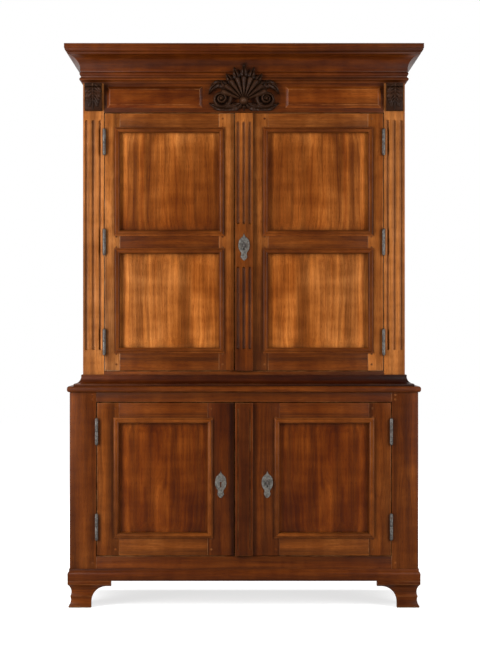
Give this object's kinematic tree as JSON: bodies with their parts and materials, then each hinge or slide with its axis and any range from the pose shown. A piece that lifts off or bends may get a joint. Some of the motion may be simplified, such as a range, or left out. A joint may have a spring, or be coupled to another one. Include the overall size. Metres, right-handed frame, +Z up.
{
  "type": "kas cupboard",
  "caption": "Tall two-part panelled wooden cupboard with cove cornice, fluted posts, carved frieze, hinged doors with locks, and bracket feet.",
  "frame": {"origin": "on the floor under the middle of the whole cupboard", "axes": "+Z up, -Y is the front with the doors, +X to the right of someone facing the front"},
  "size_m": [1.4, 0.558, 2.2],
  "materials": {
    "case_wood": "waxed and polished, worn edges",
    "panel_wood": "figured and polished",
    "dark_wood": "dark stained carving",
    "inner_wood": "unpolished",
    "iron": "forged and rubbed",
    "plate_metal": "aged sheet"
  },
  "bodies": {
    "carcase": {"base_back_boards": "inner_wood", "base_back_posts": "case_wood", "base_floor": "inner_wood", "base_front_posts": "case_wood", "base_front_rails": "case_wood", "base_shelf": "inner_wood", "base_side_panels": "panel_wood", "base_side_rails": "case_wood", "base_top_board": "case_wood", "bed_moulding": "case_wood", "bracket_feet": "case_wood", "carcase_hinges": "iron", "corner_consoles": "dark_wood", "crown_moulding": "case_wood", "frieze_ornament": "dark_wood", "frieze_panels": "panel_wood", "frieze_rail": "case_wood", "plinth_moulding": "case_wood", "shelf_cleats": "inner_wood", "upper_back_boards": "inner_wood", "upper_back_posts": "case_wood", "upper_bottom_rail": "case_wood", "upper_ceiling": "inner_wood", "upper_floor": "inner_wood", "upper_front_posts": "case_wood", "upper_shelves": "inner_wood", "upper_side_panels": "panel_wood", "upper_side_rails": "case_wood", "waist_moulding": "case_wood"},
    "upper_left_door": {"upper_left_door_frame": "case_wood", "upper_left_door_panels": "panel_wood", "upper_left_door_mouldings": "case_wood", "upper_left_door_hinges": "iron", "upper_left_bolt_plate": "iron"},
    "upper_right_door": {"upper_right_door_frame": "case_wood", "upper_right_door_panels": "panel_wood", "upper_right_door_mouldings": "case_wood", "upper_right_door_hinges": "iron", "upper_centre_pilaster": "case_wood", "upper_key_plate": "plate_metal", "upper_lock_case": "iron"},
    "lower_left_door": {"lower_left_door_frame": "case_wood", "lower_left_door_panels": "panel_wood", "lower_left_door_mouldings": "case_wood", "lower_left_door_hinges": "iron", "lower_left_bolt_plate": "iron", "lower_left_key_plate": "plate_metal"},
    "lower_right_door": {"lower_right_door_frame": "case_wood", "lower_right_door_panels": "panel_wood", "lower_right_door_mouldings": "case_wood", "lower_right_door_hinges": "iron", "lower_centre_pilaster": "case_wood", "lower_right_key_plate": "plate_metal", "lower_lock_case": "iron"},
    "upper_key": {"upper_key": "iron"},
    "lower_key": {"lower_key": "iron"},
    "upper_lock_bolt": {"upper_lock_bolt": "iron"},
    "lower_lock_bolt": {"lower_lock_bolt": "iron"},
    "upper_left_bolt": {"upper_left_bolt": "iron"},
    "lower_left_bolt": {"lower_left_bolt": "iron"}
  },
  "joints": [
    {"name": "upper_left_door_swing", "type": "hinge", "parent": "carcase", "child": "upper_left_door", "pos_m": [-0.5485, -0.2179, 1.43], "axis": [0, 0, -1], "range_deg": [0, 165]},
    {"name": "upper_right_door_swing", "type": "hinge", "parent": "carcase", "child": "upper_right_door", "pos_m": [0.5485, -0.2179, 1.43], "axis": [0, 0, 1], "range_deg": [0, 165]},
    {"name": "lower_left_door_swing", "type": "hinge", "parent": "carcase", "child": "lower_left_door", "pos_m": [-0.5755, -0.2519, 0.5015], "axis": [0, 0, -1], "range_deg": [0, 165]},
    {"name": "lower_right_door_swing", "type": "hinge", "parent": "carcase", "child": "lower_right_door", "pos_m": [0.5755, -0.2519, 0.5015], "axis": [0, 0, 1], "range_deg": [0, 165]},
    {"name": "upper_key_turn", "type": "hinge", "parent": "upper_right_door", "child": "upper_key", "pos_m": [0, -0.211, 1.416], "axis": [0, 1, 0], "range_deg": [0, 360]},
    {"name": "upper_lock_throw", "type": "slide", "parent": "upper_right_door", "child": "upper_lock_bolt", "axis": [-1, 0, 0], "range_m": [0, 0.014]},
    {"name": "lower_key_turn", "type": "hinge", "parent": "lower_right_door", "child": "lower_key", "pos_m": [0.091, -0.245, 0.4875], "axis": [0, 1, 0], "range_deg": [0, 360]},
    {"name": "lower_lock_throw", "type": "slide", "parent": "lower_right_door", "child": "lower_lock_bolt", "axis": [-1, 0, 0], "range_m": [0, 0.014]},
    {"name": "upper_bolt_slide", "type": "slide", "parent": "upper_left_door", "child": "upper_left_bolt", "axis": [0, 0, 1], "range_m": [0, 0.018]},
    {"name": "lower_bolt_slide", "type": "slide", "parent": "lower_left_door", "child": "lower_left_bolt", "axis": [0, 0, 1], "range_m": [0, 0.018]}
  ],
  "couplings": [
    {"joint": "upper_key_turn", "follows": "upper_lock_throw", "rad_per_m": 448.8},
    {"joint": "lower_key_turn", "follows": "lower_lock_throw", "rad_per_m": 448.8}
  ]
}
